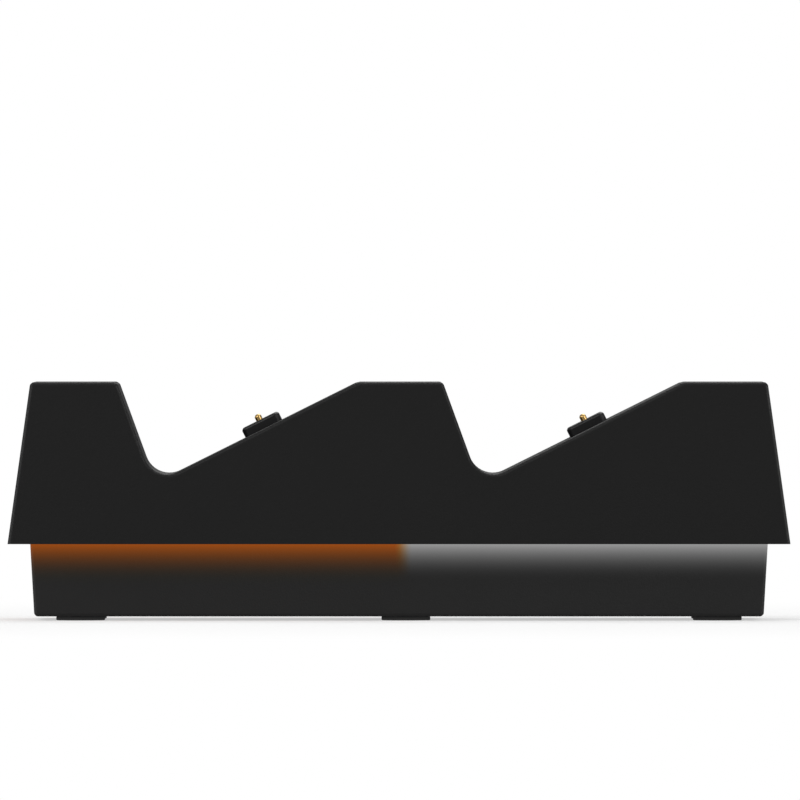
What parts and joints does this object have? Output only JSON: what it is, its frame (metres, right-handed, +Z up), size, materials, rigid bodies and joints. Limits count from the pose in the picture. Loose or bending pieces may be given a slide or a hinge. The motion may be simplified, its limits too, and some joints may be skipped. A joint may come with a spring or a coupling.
{
  "type": "controller charging dock",
  "caption": "Long low charging dock with slanted ends, V-shaped bays with sprung contact pins, a light ring under the lip of its shell and rubber feet.",
  "frame": {"origin": "on the table, under the middle of the dock's outline", "axes": "+X from the user's end to the supply inlet, +Z up, -Y the side that the picture shows"},
  "size_m": [0.192, 0.07, 0.0585],
  "materials": {
    "shell_plastic": "moulded ABS with a fine spark-eroded grain",
    "base_plastic": "moulded ABS, slightly paler than the shell",
    "amber_guide": "frosted light guide lit amber",
    "white_guide": "frosted light guide lit white",
    "foot_rubber": "matt thermoplastic rubber",
    "contact_plastic": "glass-filled moulding, satin",
    "contact_gold": "gold-plated, polished",
    "spring_steel": "rolled spring strip",
    "circuit_board": "green solder mask on glass laminate",
    "lamp_body": "white lamp packages",
    "chip_epoxy": "black moulding compound",
    "inductor_ferrite": "moulded ferrite",
    "capacitor_epoxy": "moulded case of a chip capacitor",
    "header_nylon": "natural nylon",
    "jack_plastic": "black moulded inlet",
    "ribbon_vinyl": "grey insulated ribbon lead",
    "screw_steel": "zinc-plated screws"
  },
  "bodies": {
    "dock": {"top_shell": "shell_plastic", "base_tub": "base_plastic", "light_guide_front": "amber_guide", "light_guide_rear": "white_guide", "main_board": "circuit_board", "status_led_front_1": "lamp_body", "status_led_front_2": "lamp_body", "status_led_front_3": "lamp_body", "status_led_front_4": "lamp_body", "status_led_front_5": "lamp_body", "status_led_front_6": "lamp_body", "status_led_front_7": "lamp_body", "status_led_front_8": "lamp_body", "status_led_front_9": "lamp_body", "status_led_front_10": "lamp_body", "charger_chip_front": "chip_epoxy", "inductor_front": "inductor_ferrite", "contact_header_front": "header_nylon", "contact_block_front": "contact_plastic", "contact_board_front": "circuit_board", "contact_ribbon_front": "ribbon_vinyl", "leaf_spring_front_left": "spring_steel", "leaf_spring_front_right": "spring_steel", "status_led_rear_1": "lamp_body", "status_led_rear_2": "lamp_body", "status_led_rear_3": "lamp_body", "status_led_rear_4": "lamp_body", "status_led_rear_5": "lamp_body", "status_led_rear_6": "lamp_body", "status_led_rear_7": "lamp_body", "status_led_rear_8": "lamp_body", "status_led_rear_9": "lamp_body", "status_led_rear_10": "lamp_body", "charger_chip_rear": "chip_epoxy", "inductor_rear": "inductor_ferrite", "contact_header_rear": "header_nylon", "contact_block_rear": "contact_plastic", "contact_board_rear": "circuit_board", "contact_ribbon_rear": "ribbon_vinyl", "leaf_spring_rear_left": "spring_steel", "leaf_spring_rear_right": "spring_steel", "smoothing_capacitor": "capacitor_epoxy", "housing_screws": "screw_steel", "foot_front_left": "foot_rubber", "foot_front_right": "foot_rubber", "foot_middle_left": "foot_rubber", "foot_middle_right": "foot_rubber", "foot_rear_left": "foot_rubber", "foot_rear_right": "foot_rubber", "power_jack": "jack_plastic", "jack_pin": "contact_gold", "power_header": "header_nylon", "supply_ribbon": "ribbon_vinyl"},
    "contact_pin_front_left": {"contact_pin_front_left": "contact_gold"},
    "contact_pin_front_right": {"contact_pin_front_right": "contact_gold"},
    "contact_pin_rear_left": {"contact_pin_rear_left": "contact_gold"},
    "contact_pin_rear_right": {"contact_pin_rear_right": "contact_gold"}
  },
  "joints": [
    {"name": "press_front_left", "type": "slide", "parent": "dock", "child": "contact_pin_front_left", "axis": [0.4462, 0, -0.8949], "range_m": [0, 0.0012], "stiffness_N_per_m": 350, "springref_m": -0.001, "deforming": ["leaf_spring_front_left"]},
    {"name": "press_front_right", "type": "slide", "parent": "dock", "child": "contact_pin_front_right", "axis": [0.4462, 0, -0.8949], "range_m": [0, 0.0012], "stiffness_N_per_m": 350, "springref_m": -0.001, "deforming": ["leaf_spring_front_right"]},
    {"name": "press_rear_left", "type": "slide", "parent": "dock", "child": "contact_pin_rear_left", "axis": [0.4462, 0, -0.8949], "range_m": [0, 0.0012], "stiffness_N_per_m": 350, "springref_m": -0.001, "deforming": ["leaf_spring_rear_left"]},
    {"name": "press_rear_right", "type": "slide", "parent": "dock", "child": "contact_pin_rear_right", "axis": [0.4462, 0, -0.8949], "range_m": [0, 0.0012], "stiffness_N_per_m": 350, "springref_m": -0.001, "deforming": ["leaf_spring_rear_right"]}
  ]
}
